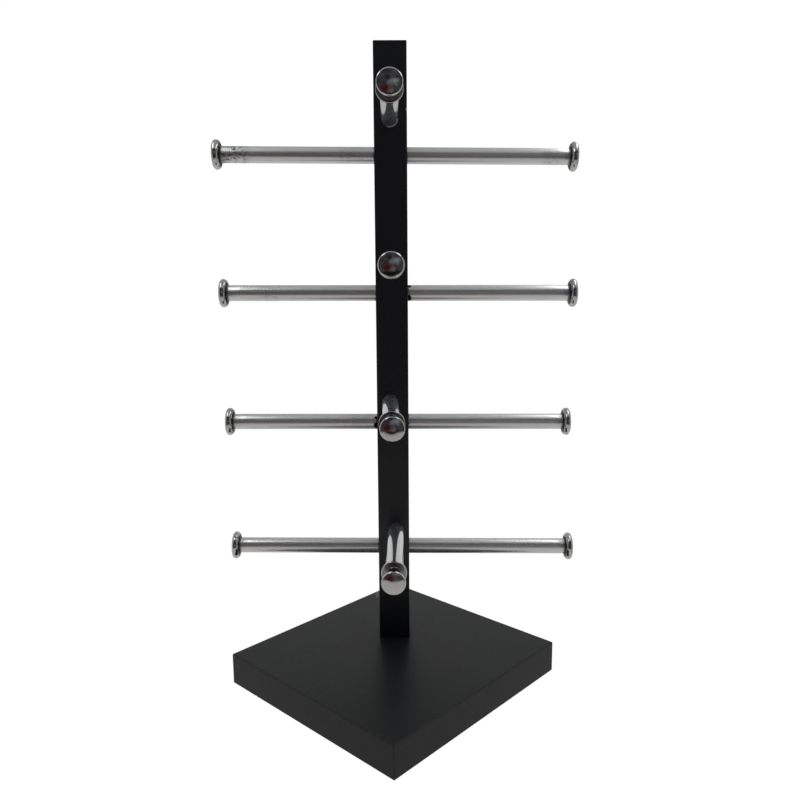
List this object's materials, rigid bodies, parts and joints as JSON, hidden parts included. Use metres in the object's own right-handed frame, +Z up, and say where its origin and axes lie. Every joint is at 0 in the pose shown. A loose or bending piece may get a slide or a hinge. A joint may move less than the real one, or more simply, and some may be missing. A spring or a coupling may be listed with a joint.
{
  "type": "eyeglasses display stand",
  "caption": "Countertop eyeglasses stand: a square post on a near-square board, with tubes out to both sides and to the front that end in polished buttons to hang frames on.",
  "frame": {"origin": "centre of the felt's underside, which is the centre of the board on the plane the stand rests on", "axes": "+Z up along the post; -Y towards the viewer, the way the front bars point; +X along the side bars to the viewer's right"},
  "size_m": [0.2888, 0.2646, 0.5039],
  "materials": {
    "board_paint": "medium-density board under satin black paint",
    "post_paint": "hardwood under satin black paint",
    "felt": "pressed black felt",
    "satin_tube": "drawn aluminium tube, satin along its length",
    "polished_tube": "drawn aluminium tube, polished",
    "chrome": "polished bright chrome plate",
    "zinc": "bright zinc-plated steel",
    "black_steel": "black-oxide steel"
  },
  "bodies": {
    "root": {"base_board": "board_paint", "base_felt": "felt", "post": "post_paint", "post_screws": "zinc", "side_bar_top": "satin_tube", "side_cap_left_top": "chrome", "side_cap_right_top": "chrome", "side_bar_lock_screw_top": "black_steel", "front_bar_top": "polished_tube", "front_spool_top": "chrome", "front_plug_top": "zinc", "front_washer_top": "zinc", "front_bolt_top": "zinc", "side_bar_upper": "satin_tube", "side_cap_left_upper": "chrome", "side_cap_right_upper": "chrome", "side_bar_lock_screw_upper": "black_steel", "front_bar_upper": "polished_tube", "front_spool_upper": "chrome", "front_plug_upper": "zinc", "front_washer_upper": "zinc", "front_bolt_upper": "zinc", "side_bar_lower": "satin_tube", "side_cap_left_lower": "chrome", "side_cap_right_lower": "chrome", "side_bar_lock_screw_lower": "black_steel", "front_bar_lower": "polished_tube", "front_spool_lower": "chrome", "front_plug_lower": "zinc", "front_washer_lower": "zinc", "front_bolt_lower": "zinc", "side_bar_bottom": "satin_tube", "side_cap_left_bottom": "chrome", "side_cap_right_bottom": "chrome", "side_bar_lock_screw_bottom": "black_steel", "front_bar_bottom": "polished_tube", "front_spool_bottom": "chrome", "front_plug_bottom": "zinc", "front_washer_bottom": "zinc", "front_bolt_bottom": "zinc"}
  },
  "joints": []
}
